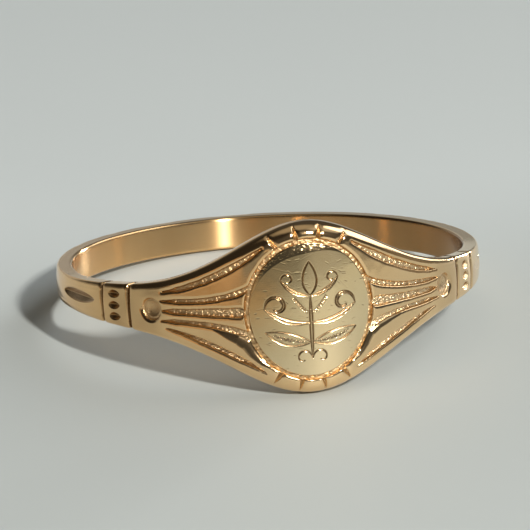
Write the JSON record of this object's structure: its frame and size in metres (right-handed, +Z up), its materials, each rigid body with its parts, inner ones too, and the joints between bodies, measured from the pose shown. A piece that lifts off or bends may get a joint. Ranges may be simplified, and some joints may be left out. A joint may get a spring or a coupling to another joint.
{
  "type": "signet ring",
  "caption": "Small gold signet ring with an oval seal table, fluted shoulders and pipped collars on a tapering hoop, lying as it rests on a table.",
  "frame": {"origin": "bottom centre of the bounding box, on the surface that the ring lies on", "axes": "+X to the right of someone who looks at the seal table, -Y the way the seal table faces, +Z up"},
  "size_m": [0.017, 0.0176, 0.0068],
  "materials": {
    "gold": "polished yellow gold, worn",
    "gold_plate": "polished yellow gold, fine scratches",
    "gold_solder": "matte hard solder"
  },
  "bodies": {
    "root": {"shank": "gold", "left_collar": "gold", "right_collar": "gold", "signet_head": "gold", "signet_plate": "gold_plate", "plate_solder": "gold_solder", "left_shank_solder": "gold_solder", "right_shank_solder": "gold_solder", "left_head_solder": "gold_solder", "right_head_solder": "gold_solder"}
  },
  "joints": []
}
